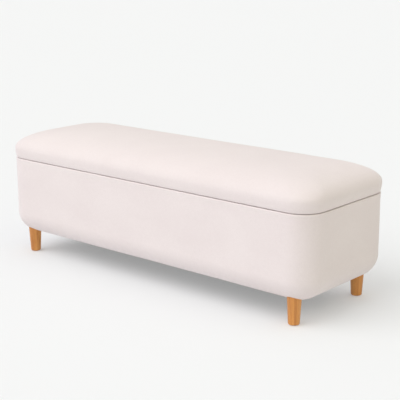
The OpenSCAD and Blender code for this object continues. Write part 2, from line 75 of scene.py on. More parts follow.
HINGES = ("hinge_base_left", "hinge_base_middle", "hinge_base_right")
LEGS = ("leg_front_left", "leg_front_right", "leg_back_left", "leg_back_right")

# ---------------------------------------------------------------- soft shapes
LIP_R = 6 * MM                # roll of the lid's lower edge, at the seam
LIP_TUCK = 1 * MM             # how far that edge draws in from the side
LIP_DROP = 3 * MM             # how far its fabric fills the seam
RIM_R = 4 * MM                # roll of the base's upper edge, at the seam
HINGE_EDGE_R = 8 * MM         # roll of both edges where a hinge sits between them
BASE_ROLL_R = 74 * MM         # roll of the base's lower edge
LID_FULL = 3 * MM             # how far the lid's side stands past the base's
SHOULDER_Z = 27 * MM          # height of the fullest part of the lid's side above its underside
CROWN_POWER = 2.75            # how square the lid's shoulder is
GRID_IN = 30 * MM             # where the lid's side rings give way to its top grid
SHOULDER_STEPS = 12           # rings of the lid's shoulder
UNDER_ROWS = (32 * MM, 22 * MM, 16 * MM)    # insets of the rings in the lid's flat underside
LIP_START = (12 * MM, 0.15)   # inset where the underside starts to dip, and its share of the drop there
LID_SWELL = 2 * MM            # how far pressure may lift the top of the lid's fabric
SIDE_SWELL = 0.7 * MM         # and push out its sides, and the base's
CLOTH_PRESSURE = 4
CLOTH_FRAMES = 20
LEAST_R = 8 * MM              # smallest corner of an inset plan
HINGE_FADE = (5 * MM, 25 * MM)              # how far past a hinge the edge starts and ends its change
BISECTIONS = 30               # halvings that find a place's inset
LIP_ARC = (265, 190)          # angles of the lid's lip, from the underside to the side
LIP_STEPS = 7
LID_SIDE_STEPS = 5
RIM_STEPS = 3                 # steps across the base's flat underside, and across its rim
ROLL_STEPS = 12               # round its lower roll
SIDE_STEPS = 14               # up its side
EDGE_STEPS = 5                # and round its upper edge
HELD_ROLL_ROWS = 2            # rings at the foot of the roll that pressure doesn't move
WELT_SIDES = 10
LEG_HOLE_GAP = 0.5 * MM
CIRCLE_SIDES = 64

# Size and depth of the soft waves in each piece
FINE_WAVES = 3.3              # how much smaller the second, finer waves are
FINE_SHARE = 0.3              # and their share of the depth
LID_WAVE = (0.24, 0.45 * MM)
BASE_WAVE = (0.18, 0.5 * MM)
TUB_WAVE = (0.13, 0.9 * MM)
LID_LINING_WAVE = (0.11, 0.5 * MM)

# Cells of the grid over the plan: along each straight side, and across each corner block
LONG_CELLS = 90
END_CELLS = 22
CORNER_CELLS = 7


# ---------------------------------------------------------------- rings and grids over the plan
def plan_lines(cells):
    """Where each grid line lies: along the straight part, and in the corner block beyond it."""
    corner = np.arange(1, CORNER_CELLS + 1) / CORNER_CELLS
    whole = np.ones(CORNER_CELLS)
    along = np.concatenate([-whole, np.linspace(-1, 1, cells + 1), whole])
    beyond = np.concatenate([-corner[::-1], np.zeros(cells + 1), corner])
    return along, beyond


def plan_grid(inset):
    """A grid over the bench's rounded plan, inset from the outer face of the base's fabric."""
    hx = HALF_X - inset
    hy = HALF_Y - inset
    r = max(CORNER_R - inset, LEAST_R)
    ax, bx = (v[:, None] for v in plan_lines(LONG_CELLS))
    ay, by = (v[None, :] for v in plan_lines(END_CELLS))
    x = ax * (hx - r) + r * bx * np.sqrt(1 - by ** 2 / 2)
    y = ay * (hy - r) + r * by * np.sqrt(1 - bx ** 2 / 2)
    return np.stack([x, y], axis=2)


def rim_walk():
    """Grid places round the edge of the plan, anticlockwise from above."""
    nx = LONG_CELLS + 2 * CORNER_CELLS
    ny = END_CELLS + 2 * CORNER_CELLS
    walk = [(i, 0) for i in range(nx)]
    walk += [(nx, j) for j in range(ny)]
    walk += [(i, ny) for i in range(nx, 0, -1)]
    walk += [(0, j) for j in range(ny, 0, -1)]
    return np.array(walk).T


WALK_I, WALK_J = rim_walk()
ROUND = len(WALK_I)


def rings(section):
    """Points of the closed rings round the plan, one for each inset and height of a section."""
    rows = []
    for inset, z in section:
        xy = plan_grid(inset)[WALK_I, WALK_J]
        rows.append(np.column_stack([xy, np.full(ROUND, z)]))
    return np.vstack(rows)


def arc(cx, cz, r, start, end, steps):
    """Points of an arc in a section, from one angle to another, in degrees."""
    angles = np.radians(np.linspace(start, end, steps + 1))
    return [(cx + r * math.cos(a), cz + r * math.sin(a)) for a in angles]


def between(a, b, steps):
    """Points strictly between two ends of a straight stretch of a section."""
    return [(a[0] + (b[0] - a[0]) * k / steps, a[1] + (b[1] - a[1]) * k / steps) for k in range(1, steps)]


def smooth_step(value, low, high):
    """0 below low, 1 above high, and a smooth rise between them."""
    t = np.clip((value - low) / (high - low), 0, 1)
    return t * t * (3 - 2 * t)


def hinge_share():
    """For each place round the plan, how far its seam edge gives way to a hinge, from 0 to 1."""
    path = plan_grid(0)[WALK_I, WALK_J]
    share = np.zeros(ROUND)
    for name in HINGES:
        low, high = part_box(name)
        past = np.maximum(low.x - path[:, 0], path[:, 0] - high.x)
        share = np.maximum(share, (1 - smooth_step(past, *HINGE_FADE)) * (path[:, 1] > 0))
    return share


def skin(section, closed, at_hinges=None):
    """Vertices and quads that join the rings of a section, which turns into another one round each hinge."""
    verts = rings(section)
    if at_hinges:
        share = np.tile(hinge_share(), len(section))[:, None]
        verts = verts * (1 - share) + rings(at_hinges) * share
    rows = len(section)
    pairs = [(k, (k + 1) % rows) for k in range(rows if closed else rows - 1)]
    faces = []
    for a, b in pairs:
        for p in range(ROUND):
            q = (p + 1) % ROUND
            faces.append((a * ROUND + p, a * ROUND + q, b * ROUND + q, b * ROUND + p))
    return verts, faces


def ring_edges(rows):
    """The edges round some rings of a section, to keep sharp."""
    return [(k * ROUND + p, k * ROUND + (p + 1) % ROUND) for k in rows for p in range(ROUND)]


def level(z):
    """A height for cap() that is the same everywhere."""
    return lambda x, y: np.full(len(x), z)


def cap(verts, faces, row, inset, height, upward):
    """Closes a ring with a grid over the plan, at a height given by a function of x and y."""
    xy = plan_grid(inset)
    nx, ny = xy.shape[:2]
    index = np.empty((nx, ny), int)
    index[WALK_I, WALK_J] = row * ROUND + np.arange(ROUND)
    inner = xy[1:-1, 1:-1].reshape(-1, 2)
    index[1:-1, 1:-1] = len(verts) + np.arange(len(inner)).reshape(nx - 2, ny - 2)
    verts = np.vstack([verts, np.column_stack([inner, height(inner[:, 0], inner[:, 1])])])
    for i in range(nx - 1):
        for j in range(ny - 1):
            quad = [int(v) for v in (index[i, j], index[i + 1, j], index[i + 1, j + 1], index[i, j + 1])]
            faces.append(quad if upward else quad[::-1])
    return verts, faces


def drum(x, y, r, heights, count):
    """Vertices of two rings of points, one over the other, and the quads between them."""
    turns = [2 * math.pi * k / count for k in range(count)]
    verts = [(x + r * math.cos(a), y + r * math.sin(a), z) for z in heights for a in turns]
    sides = [(k, (k + 1) % count, count + (k + 1) % count, count + k) for k in range(count)]
    return verts, sides


# ---------------------------------------------------------------- meshes
def link(name, data):
    """Puts new data into the scene as an object."""
    obj = bpy.data.objects.new(name, data)
    bpy.context.scene.collection.objects.link(obj)
    return obj


def new_mesh(name, verts, faces, sharp=()):
    """A mesh object with smooth faces and full creases on its sharp edges."""
    mesh = bpy.data.meshes.new(name)
    mesh.from_pydata([tuple(v) for v in verts], [], faces)
    mesh.update()
    mesh.polygons.foreach_set("use_smooth", [True] * len(mesh.polygons))
    if sharp:
        crease = mesh.attributes.new("crease_edge", "FLOAT", "EDGE")
        wanted = {tuple(sorted(edge)) for edge in sharp}
        for edge in mesh.edges:
            if tuple(sorted(edge.vertices)) in wanted:
                crease.data[edge.index].value = 1.0
    return link(name, mesh)


def apply_modifiers(obj):
    """Turns what an object's modifiers make into its own mesh."""
    evaluated = obj.evaluated_get(bpy.context.evaluated_depsgraph_get())
    mesh = bpy.data.meshes.new_from_object(evaluated)
    obj.modifiers.clear()
    obj.data = mesh


def subdivide(obj):
    """Smooths a mesh by one step of subdivision."""
    modifier = obj.modifiers.new("Smooth", "SUBSURF")
    modifier.levels = 1
    modifier.render_levels = 1
    apply_modifiers(obj)


def cut_away(obj, cutter):
    """Cuts one closed mesh out of another, and throws it away."""
    cut = obj.modifiers.new("Cut", "BOOLEAN")
    cut.operation = "DIFFERENCE"
    cut.solver = "EXACT"
    cut.object = cutter
    apply_modifiers(obj)
    bpy.data.objects.remove(cutter)


def positions(mesh):
    """Places of a mesh's vertices, as rows."""
    flat = np.empty(3 * len(mesh.vertices))
    mesh.vertices.foreach_get("co", flat)
    return flat.reshape(-1, 3)


def normals(mesh):
    """The way each vertex of a mesh faces, as rows."""
    flat = np.empty(3 * len(mesh.vertices))
    mesh.vertex_normals.foreach_get("vector", flat)
    return flat.reshape(-1, 3)


def place(mesh, points):
    """Moves a mesh's vertices to new places."""
    mesh.vertices.foreach_set("co", points.ravel())
    mesh.update()


def swell(obj, room):
    """Blows up a closed mesh with Blender's cloth. Each point keeps a share of its move outward, so that
    the one that moves furthest goes no further than its room."""
    rest = positions(obj.data)
    outward = normals(obj.data)
    group = obj.vertex_groups.new(name="held")
    group.add([int(k) for k in np.flatnonzero(room == 0)], 1.0, "REPLACE")
    cloth = obj.modifiers.new("Cloth", "CLOTH")
    settings = cloth.settings
    settings.vertex_group_mass = "held"
    settings.quality = 5
    settings.tension_stiffness = 60
    settings.compression_stiffness = 60
    settings.shear_stiffness = 20
    settings.bending_stiffness = 5
    settings.use_pressure = True
    settings.uniform_pressure_force = CLOTH_PRESSURE
    settings.effector_weights.gravity = 0
    cloth.collision_settings.use_collision = False
    cloth.point_cache.frame_start = 1
    cloth.point_cache.frame_end = CLOTH_FRAMES
    scene = bpy.context.scene
    for step in range(1, CLOTH_FRAMES + 1):
        scene.frame_set(step)
    evaluated = obj.evaluated_get(bpy.context.evaluated_depsgraph_get())
    out = np.maximum(np.sum((positions(evaluated.data) - rest) * outward, axis=1), 0)
    obj.modifiers.clear()
    obj.vertex_groups.clear()
    scene.frame_set(1)
    place(obj.data, rest + outward * (room * out / out.max())[:, None])


def undulate(obj, free, wave):
    """Moves the free part of a mesh in and out by soft noise, as fabric lies over foam."""
    size, depth = wave
    points = positions(obj.data)
    broad = np.array([noise.noise(Vector(p) / size) for p in points])
    fine = np.array([noise.noise(Vector(p) / (size / FINE_WAVES)) for p in points])
    move = (broad + FINE_SHARE * fine) * depth * free
    place(obj.data, points + normals(obj.data) * move[:, None])


# ---------------------------------------------------------------- lid cushion
def crown_height(inset):
    """Height of the lid's top at a distance in from the edge of the plan, before its fabric swells."""
    side_z = LID_Z + SHOULDER_Z
    full = LID_FULL - SIDE_SWELL
    t = np.clip((inset + full) / (HALF_Y + full), 0, 1)
    return side_z + (CROWN_Z - LID_SWELL - side_z) * np.sqrt(1 - (1 - t) ** CROWN_POWER)


def plan_inset(x, y):
    """How far in from the edge of the plan a place is, on outlines whose corners keep their radius."""
    low = np.full_like(x, -LID_FULL)
    high = np.full_like(x, HALF_Y)
    for _ in range(BISECTIONS):
        inset = (low + high) / 2
        r = np.minimum(CORNER_R - np.minimum(inset, 0), HALF_Y - inset)
        qx = np.abs(x) - (HALF_X - inset - r)
        qy = np.abs(y) - (HALF_Y - inset - r)
        past = np.hypot(np.maximum(qx, 0), np.maximum(qy, 0)) + np.minimum(np.maximum(qx, qy), 0) - r
        low = np.where(past < 0, inset, low)
        high = np.where(past < 0, high, inset)
    return low


def crown_at(x, y):
    """Height of the lid's top over a place in the plan."""
    return crown_height(plan_inset(x, y))


def lid_section(edge_r, tuck, drop):
    """Section of the lid cushion: its board's pocket, its underside and lip, and its side and shoulder."""
    full = SIDE_SWELL - LID_FULL
    pocket = [(GRID_IN, BOARD_HIGH.z), (PANEL_IN, BOARD_HIGH.z), (PANEL_IN, BOARD_LOW.z),
              (TURN_IN, BOARD_LOW.z), (TURN_IN, LID_Z)]
    dip_in, dip_share = LIP_START
    under = [(inset, LID_Z) for inset in UNDER_ROWS] + [(dip_in, LID_Z - dip_share * drop)]
    lip = arc(edge_r + tuck, LID_Z - drop + edge_r, edge_r, *LIP_ARC, LIP_STEPS)
    foot, foot_z = lip[-1]
    rise = np.linspace(0, 1, LID_SIDE_STEPS + 1)[1:]
    side = [(foot + (full - foot) * math.sin(math.pi / 2 * t), foot_z + (LID_Z + SHOULDER_Z - foot_z) * t)
            for t in rise]
    steps = np.linspace(0, 1, SHOULDER_STEPS + 1)[1:] ** 2
    shoulder = [(inset, float(crown_height(inset))) for inset in full + (GRID_IN - full) * steps]
    return pocket, under + lip, side, shoulder


def lid_cushion():
    """The lid's fabric and foam as one closed crowned form, with a pocket for its board."""
    pocket, under, side, shoulder = lid_section(LIP_R, LIP_TUCK, LIP_DROP)
    rows = len(pocket + under + side + shoulder)
    at_hinges = sum(lid_section(HINGE_EDGE_R, 0, 0), [])
    verts, faces = skin(pocket + under + side + shoulder, closed=False, at_hinges=at_hinges)
    top = verts[ROUND * (rows - len(shoulder)):]
    top[:, 2] = crown_at(top[:, 0], top[:, 1])
    room = np.zeros(rows)
    room[-len(side + shoulder):] = SIDE_SWELL
    room[-len(shoulder):] = np.linspace(SIDE_SWELL, LID_SWELL, len(shoulder))
    room = np.repeat(room, ROUND)
    verts, faces = cap(verts, faces, 0, GRID_IN, level(BOARD_HIGH.z), upward=False)
    room = np.append(room, np.zeros(len(verts) - len(room)))
    verts, faces = cap(verts, faces, rows - 1, GRID_IN, crown_at, upward=True)
    room = np.append(room, np.full(len(verts) - len(room), LID_SWELL))
    obj = new_mesh("lid_cushion", verts, faces, ring_edges(range(1, len(pocket))))
    swell(obj, room)
    undulate(obj, room > 0, LID_WAVE)
    subdivide(obj)
    return obj


# ---------------------------------------------------------------- base upholstery
def base_section(edge_r):
    """Section of the base's fabric and foam: its underside, roll and side, its rim, and its inner faces."""
    under = [(RETURN_IN, BASE_Z)] + between((RETURN_IN, BASE_Z), (BASE_ROLL_R, BASE_Z), RIM_STEPS)
    roll = arc(BASE_ROLL_R, BASE_Z + BASE_ROLL_R, BASE_ROLL_R, 270, 180, ROLL_STEPS)
    edge = arc(edge_r, RIM_Z - edge_r, edge_r, 180, 90, EDGE_STEPS)
    side = between(roll[-1], edge[0], SIDE_STEPS)
    side = [(inset + SIDE_SWELL, z) for inset, z in side]
    rim = between(edge[-1], (INSIDE_IN, RIM_Z), RIM_STEPS) + [(INSIDE_IN, RIM_Z)]
    inner = [(INSIDE_IN, PANEL_HIGH.z), (PANEL_IN, PANEL_HIGH.z), (PANEL_IN, PANEL_LOW.z),
             (FLOOR_IN, PANEL_LOW.z), (FLOOR_IN, FLOOR_LOW.z), (BLOCK_IN, FLOOR_LOW.z),
             (BLOCK_IN, BLOCK_LOW.z), (CORNER_R, BLOCK_LOW.z), (CORNER_R, RAIL_LOW.z),
             (RETURN_IN, RAIL_LOW.z)]
    return under, roll + side, edge + rim, inner


def leg_holes(obj):
    """Cuts the holes that the legs go up through."""
    for name in LEGS:
        low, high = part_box(name)
        r = (high.x - low.x) / 2 + LEG_HOLE_GAP
        x = (low.x + high.x) / 2
        y = (low.y + high.y) / 2
        verts, sides = drum(x, y, r, (low.z, high.z + LEG_HOLE_GAP), CIRCLE_SIDES)
        bottom = list(range(CIRCLE_SIDES - 1, -1, -1))
        top = list(range(CIRCLE_SIDES, 2 * CIRCLE_SIDES))
        cut_away(obj, new_mesh("cutter", verts, sides + [bottom, top]))


def base_upholstery():
    """The base's fabric and foam as one closed form that wraps its chassis and panels."""
    under, outside, rim, inner = base_section(RIM_R)
    at_hinges = sum(base_section(HINGE_EDGE_R), [])
    verts, faces = skin(under + outside + rim + inner, closed=True, at_hinges=at_hinges)
    room = np.zeros(len(verts))
    room[ROUND * (len(under) + HELD_ROLL_ROWS):ROUND * len(under + outside)] = SIDE_SWELL
    corner = len(under) + len(outside) + len(rim) - 1
    sharp = [0] + list(range(corner, corner + len(inner) + 1))
    obj = new_mesh("base_upholstery", verts, faces, ring_edges(sharp))
    swell(obj, room)
    undulate(obj, room > 0, BASE_WAVE)
    subdivide(obj)
    leg_holes(obj)
    return obj


# ---------------------------------------------------------------- welts, linings, dust cover and staples
def welt(name, inset, z, r):
    """A round cord that follows the plan."""
    section = arc(inset, z, r, 0, 360, WELT_SIDES)[:-1]
    verts, faces = skin(section[::-1], closed=True)
    return new_mesh(name, verts, faces)


LINING_T = 1.2 * MM
LINING_BULGE = 1.2 * MM           # how far the lining stands off the middle of a panel
LINING_FILLET = 7 * MM            # how it turns from wall to floor
LINING_GRID_IN = 45 * MM          # where its floor's last ring gives way to a grid
LINING_WALL_STEPS = 10
LINING_FILLET_STEPS = 5
LID_LINING_MARGIN = 8 * MM        # width of the lid lining's inner ring


def thicken(obj, thickness):
    """Gives a single layer of cloth its thickness, behind the side that shows."""
    solid = obj.modifiers.new("Thickness", "SOLIDIFY")
    solid.thickness = thickness
    solid.offset = -1
    apply_modifiers(obj)


def rounded_area(half_x, half_y, r):
    """Area of a rectangle with round corners."""
    return 4 * half_x * half_y - (4 - math.pi) * r ** 2


def lining_tub():
    """The storage lining: one soft skin over the panels and the floor. Also its flat cut and its area."""
    top = PANEL_HIGH.z
    low = FLOOR_HIGH.z + LINING_T
    wall = [(INSIDE_IN + LINING_BULGE * math.sin(math.pi * t), top + (low + LINING_FILLET - top) * t)
            for t in np.linspace(0, 1, LINING_WALL_STEPS + 1)[:-1]]
    fillet = arc(INSIDE_IN + LINING_FILLET, low + LINING_FILLET, LINING_FILLET, 180, 270,
                 LINING_FILLET_STEPS)
    section = wall + fillet + [(LINING_GRID_IN, low)]
    verts, faces = skin(section, closed=False)
    verts, faces = cap(verts, faces, len(section) - 1, LINING_GRID_IN, level(low), upward=True)
    obj = new_mesh("lining_tub", verts, faces)
    free = np.ones(len(verts))
    free[:ROUND] = 0
    undulate(obj, free, TUB_WAVE)
    subdivide(obj)
    thicken(obj, LINING_T)
    half_x = HALF_X - INSIDE_IN
    half_y = HALF_Y - INSIDE_IN
    r = CORNER_R - INSIDE_IN
    high = top - low
    around = 4 * (half_x + half_y) - (8 - 2 * math.pi) * r
    flat = (2 * (half_x + high), 2 * (half_y + high))
    return obj, flat, rounded_area(half_x, half_y, r) + around * high


def lid_lining_sheet():
    """The cloth stapled under the lid board, with its flat cut and its area."""
    section = [(LINING_GRID_IN + LID_LINING_MARGIN, LID_Z), (LINING_GRID_IN, LID_Z), (TURN_IN, LID_Z)]
    verts, faces = skin(section, closed=False)
    verts, faces = cap(verts, faces, 0, section[0][0], level(LID_Z), upward=False)
    obj = new_mesh("lid_lining_sheet", verts, faces)
    free = np.ones(len(verts))
    free[:len(section) * ROUND] = 0
    undulate(obj, free, LID_LINING_WAVE)
    subdivide(obj)
    thicken(obj, LINING_T)
    half_x = HALF_X - TURN_IN
    half_y = HALF_Y - TURN_IN
    return obj, (2 * half_x, 2 * half_y), rounded_area(half_x, half_y, CORNER_R - TURN_IN)


DUST_IN = RETURN_IN - 11 * MM     # the dust cover laps over the fabric's edge
DUST_T = 0.8 * MM
DUST_SAG = 1.2 * MM
DUST_CELLS = (180, 44)
PUCKER = 0.3 * MM                 # depth of the puckers that the staples pull in its edge
PUCKER_REACH = 14 * MM
RIPPLE = 0.4 * MM                 # depth of its ripples, which start away from its edge
RIPPLE_SIZE = 0.06
RIPPLE_START = 40 * MM
STAPLE_PITCH = 55 * MM
STAPLE_IN = 6 * MM                # from the dust cover's edge
STAPLE_WIRE_R = 0.5 * MM
STAPLE_PROUD = 0.6 * MM           # how far a staple's middle line stands below the cloth
STAPLE_SHAPE = ((-5, 2.5), (-5, 0.5), (-4.4, 0), (4.4, 0), (5, 0.5), (5, 2.5))    # along and up, in mm


def dust_sheet():
    """Black cloth stretched under the chassis, sagging a little between its staples."""
    half_x = HALF_X - DUST_IN
    half_y = HALF_Y - DUST_IN
    nx, ny = DUST_CELLS
    xs = np.linspace(-half_x, half_x, nx + 1)
    ys = np.linspace(-half_y, half_y, ny + 1)
    verts = []
    for x in xs:
        for y in ys:
            edge = min(half_x - abs(x), half_y - abs(y))
            along = x if half_y - abs(y) < half_x - abs(x) else y
            wave = math.cos(2 * math.pi * along / STAPLE_PITCH)
            pucker = PUCKER * math.exp(-edge / PUCKER_REACH) * wave
            sag = DUST_SAG * (1 - (x / half_x) ** 4) * (1 - (y / half_y) ** 2)
            away = smooth_step(edge, 0, RIPPLE_START)
            ripple = RIPPLE * noise.noise(Vector((x, y, 0)) / RIPPLE_SIZE) * away
            verts.append((x, y, BASE_Z - DUST_T - sag + ripple - max(pucker, 0)))
    faces = []
    for i in range(nx):
        for j in range(ny):
            a = i * (ny + 1) + j
            faces.append((a, a + 1, a + ny + 2, a + ny + 1))
    obj = new_mesh("dust_sheet", verts, faces)
    thicken(obj, DUST_T)
    return obj, (2 * half_x, 2 * half_y)


def staples():
    """Staples round the dust cover's edge, as one curve object."""
    curve = bpy.data.curves.new("staples", "CURVE")
    curve.dimensions = "3D"
    curve.bevel_depth = STAPLE_WIRE_R
    curve.bevel_resolution = 2
    half_x = HALF_X - DUST_IN - STAPLE_IN
    half_y = HALF_Y - DUST_IN - STAPLE_IN
    spots = []
    count_x = int(2 * half_x / STAPLE_PITCH)
    count_y = int(2 * half_y / STAPLE_PITCH)
    for k in range(count_x + 1):
        x = -half_x + 2 * half_x * k / count_x
        spots += [(x, -half_y, 1, 0), (x, half_y, 1, 0)]
    for k in range(1, count_y):
        y = -half_y + 2 * half_y * k / count_y
        spots += [(-half_x, y, 0, 1), (half_x, y, 0, 1)]
    crown = BASE_Z - DUST_T - STAPLE_PROUD
    for x, y, dx, dy in spots:
        spline = curve.splines.new("POLY")
        spline.points.add(len(STAPLE_SHAPE) - 1)
        for point, (along, up) in zip(spline.points, STAPLE_SHAPE):
            point.co = (x + dx * along * MM, y + dy * along * MM, crown + up * MM, 1)
    return link("staples", curve)


# ---------------------------------------------------------------- screws
CROSS_HALF_L = 1.8 * MM
CROSS_HALF_W = 0.42 * MM
CROSS_DEEP = 1.1 * MM
CROSS_ABOVE = 0.2 * MM        # how far its cutter starts above the head
CROSS_TAPER = 0.55            # the bottom's size against the top's
SCREW_TURN = 2.4              # each screw stops this much further round than the one before, in radians
END_RIM = 0.05 * MM           # how near to an end of a screw a point counts as on it
WELD = 0.001 * MM
SHARP_DEGREES = 30


def islands(bm):
    """The separate solids of a mesh, as lists of vertices."""
    seen = set()
    for start in bm.verts:
        if start in seen:
            continue
        seen.add(start)
        found = [start]
        for vert in found:
            others = [edge.other_vert(vert) for edge in vert.link_edges]
            new = [other for other in others if other not in seen]
            seen.update(new)
            found += new
        yield found


def head_of(points):
    """Centre of a screw's head, and the way that it faces: it is at the wider end of the longest side."""
    low, high = points.min(axis=0), points.max(axis=0)
    axis = int(np.argmax(high - low))
    ends = []
    for end, way in ((low, -1), (high, 1)):
        rim = points[np.abs(points[:, axis] - end[axis]) < END_RIM]
        ends.append((np.ptp(rim, axis=0).max(), way, end[axis]))
    way, place_on_axis = max(ends)[1:]
    centre = (low + high) / 2
    centre[axis] = place_on_axis
    outward = np.zeros(3)
    outward[axis] = way
    return Vector(centre), Vector(outward)


def cross_recess(centre, outward, turn, verts, faces):
    """Adds a tapered cross, which reaches from just above a screw's head down into it."""
    w, h = CROSS_HALF_W, CROSS_HALF_L
    outline = [(w, w), (w, h), (-w, h), (-w, w), (-h, w), (-h, -w), (-w, -w), (-w, -h), (w, -h), (w, -w),
               (h, -w), (h, w)]
    along = outward.orthogonal().normalized()
    across = outward.cross(along)
    first = len(verts)
    for depth, scale in ((CROSS_ABOVE, 1), (-CROSS_DEEP, CROSS_TAPER)):
        for a, b in outline:
            u = (a * math.cos(turn) - b * math.sin(turn)) * scale
            v = (a * math.sin(turn) + b * math.cos(turn)) * scale
            verts.append(centre + along * u + across * v + outward * depth)
    count = len(outline)
    faces.append([first + k for k in range(count)])
    faces.append([first + count + k for k in reversed(range(count))])
    for k in range(count):
        n = (k + 1) % count
        faces.append([first + n, first + k, first + count + k, first + count + n])


def crossed_screws(node):
    """A node's screws again, each with a cross recess in its head."""
    bm = bmesh.new()
    bm.from_mesh(nodes[node].data)
    bmesh.ops.remove_doubles(bm, verts=bm.verts, dist=WELD)
    verts, faces = [], []
    for k, island in enumerate(islands(bm)):
        points = np.array([tuple(v.co) for v in island])
        centre, outward = head_of(points)
        cross_recess(centre, outward, SCREW_TURN * k, verts, faces)
    mesh = bpy.data.meshes.new("crossed_" + node)
    bm.to_mesh(mesh)
    bm.free()
    obj = link("crossed_" + node, mesh)
    cut_away(obj, new_mesh("cutter", verts, faces))
    obj.data.polygons.foreach_set("use_smooth", [True] * len(obj.data.polygons))
    obj.data.set_sharp_from_angle(angle=math.radians(SHARP_DEGREES))
    return obj


# ---------------------------------------------------------------- materials
class Material:
    """A node material with a Principled shader, built up by short calls."""

    def __init__(self, name, colour, roughness, **sockets):
        self.material = bpy.data.materials.new(name)
        self.material.use_nodes = True
        self.tree = self.material.node_tree
        self.shader = self.tree.nodes["Principled BSDF"]
        self.shader.inputs["Base Color"].default_value = (*colour, 1)
        self.shader.inputs["Roughness"].default_value = roughness
        for socket, value in sockets.items():
            self.shader.inputs[socket.replace("_", " ")].default_value = value
        self.coords = self.add("ShaderNodeTexCoord").outputs["Object"]

    def add(self, kind, **inputs):
        node = self.tree.nodes.new(kind)
        for name, value in inputs.items():
            self.put(node.inputs[name.replace("_", " ")], value)
        return node

    def put(self, socket, value):
        """Links a socket, or sets its value."""
        if isinstance(value, bpy.types.NodeSocket):
            self.tree.links.new(value, socket)
        else:
            socket.default_value = value

    def noise(self, size, detail=2.0, stretch=(1, 1, 1), distortion=0.0):
        """Noise whose features are about a given size in metres, finer along an axis that is stretched."""
        scale = tuple(s / size for s in stretch)
        stretched = self.add("ShaderNodeMapping", Vector=self.coords, Scale=scale).outputs["Vector"]
        return self.add("ShaderNodeTexNoise", Vector=stretched, Scale=1.0, Detail=detail,
                        Distortion=distortion).outputs["Fac"]

    def ramp(self, fac, stops):
        """A colour ramp from (place, colour) stops."""
        node = self.add("ShaderNodeValToRGB", Fac=fac)
        elements = node.color_ramp.elements
        for k, (spot, colour) in enumerate(stops):
            element = elements[k] if k < 2 else elements.new(spot)
            element.position = spot
            element.color = (*colour, 1)
        return node.outputs["Color"]

    def levels(self, fac, low, high, to_low, to_high):
        """Maps a range of values to another."""
        return self.add("ShaderNodeMapRange", Value=fac, From_Min=low, From_Max=high, To_Min=to_low,
                        To_Max=to_high).outputs["Result"]

    def maths(self, operation, a, b):
        node = self.tree.nodes.new("ShaderNodeMath")
        node.operation = operation
        self.put(node.inputs[0], a)
        self.put(node.inputs[1], b)
        return node.outputs["Value"]

    def blend(self, fac, a, b):
        """Mixes two colours."""
        node = self.tree.nodes.new("ShaderNodeMix")
        node.data_type = "RGBA"
        self.put(node.inputs["Factor"], fac)
        for socket, value in ((node.inputs[6], a), (node.inputs[7], b)):
            self.put(socket, value if isinstance(value, bpy.types.NodeSocket) else (*value, 1))
        return node.outputs[2]

    def colour(self, value):
        self.put(self.shader.inputs["Base Color"], value)

    def roughness(self, value):
        self.put(self.shader.inputs["Roughness"], value)

    def bump(self, height, depth, strength=1.0):
        """Adds a bump of a given depth in metres on top of any other."""
        node = self.add("ShaderNodeBump", Height=height, Distance=depth, Strength=strength)
        normal = self.shader.inputs["Normal"]
        if normal.is_linked:
            self.put(node.inputs["Normal"], normal.links[0].from_socket)
        self.put(normal, node.outputs["Normal"])


def velvet():
    """Short smooth pile: broad nap marks, a fine mottle and a soft sheen."""
    m = Material("upholstery_velvet", (0.77, 0.69, 0.69), 0.9, Sheen_Weight=0.25, Sheen_Roughness=0.4,
                 Specular_IOR_Level=0.2)
    nap = m.noise(0.22, detail=3, stretch=(1, 1, 1.6), distortion=0.4)
    mottle = m.noise(9 * MM, detail=3)
    pile = m.noise(1.4 * MM, detail=2, stretch=(1, 1, 0.6))
    tone = m.ramp(nap, [(0.3, (0.752, 0.676, 0.681)), (0.7, (0.784, 0.712, 0.715))])
    tone = m.blend(0.07, tone, m.ramp(mottle, [(0.3, (0.66, 0.57, 0.57)), (0.7, (0.88, 0.81, 0.81))]))
    tone = m.blend(0.10, tone, m.ramp(pile, [(0.3, (0.60, 0.52, 0.52)), (0.7, (0.93, 0.87, 0.87))]))
    m.colour(tone)
    m.roughness(m.levels(mottle, 0.3, 0.7, 0.82, 0.95))
    m.bump(mottle, 0.25 * MM, 0.25)
    m.bump(pile, 0.25 * MM, 0.35)
    return m.material


WAVE_UNIT = 6.36              # bands of the wave texture, for each unit of its scale
MOSTLY = 0.707                # a wall faces an axis when this much of its normal is along it


def weave(name, light, dark, thread):
    """Plain woven cloth with a thread of a given width, its threads level and upright on every wall."""
    m = Material(name, light, 0.9, Sheen_Weight=0.1, Specular_IOR_Level=0.2)
    bands = []
    for axis in ("X", "Y", "Z"):
        node = m.add("ShaderNodeTexWave", Vector=m.coords, Scale=1 / (WAVE_UNIT * thread), Distortion=1.0,
                     Detail=1.0, Detail_Scale=2.0)
        node.bands_direction = axis
        bands.append(node.outputs["Fac"])
    facing = m.add("ShaderNodeSeparateXYZ", Vector=m.add("ShaderNodeTexCoord").outputs["Normal"])
    end_wall = m.maths("GREATER_THAN", m.maths("ABSOLUTE", facing.outputs["X"], 0.0), MOSTLY)
    flat = m.maths("GREATER_THAN", m.maths("ABSOLUTE", facing.outputs["Z"], 0.0), MOSTLY)
    warp = m.levels(end_wall, 0.0, 1.0, bands[0], bands[1])
    weft = m.levels(flat, 0.0, 1.0, bands[2], bands[1])
    height = m.maths("MULTIPLY", warp, weft)
    shade = m.noise(60 * MM, detail=4)
    tone = m.ramp(height, [(0.05, dark), (0.75, light)])
    m.colour(m.blend(m.levels(shade, 0.35, 0.65, 0, 0.25), tone, dark))
    m.bump(height, 0.3 * MM, 0.5)
    return m.material


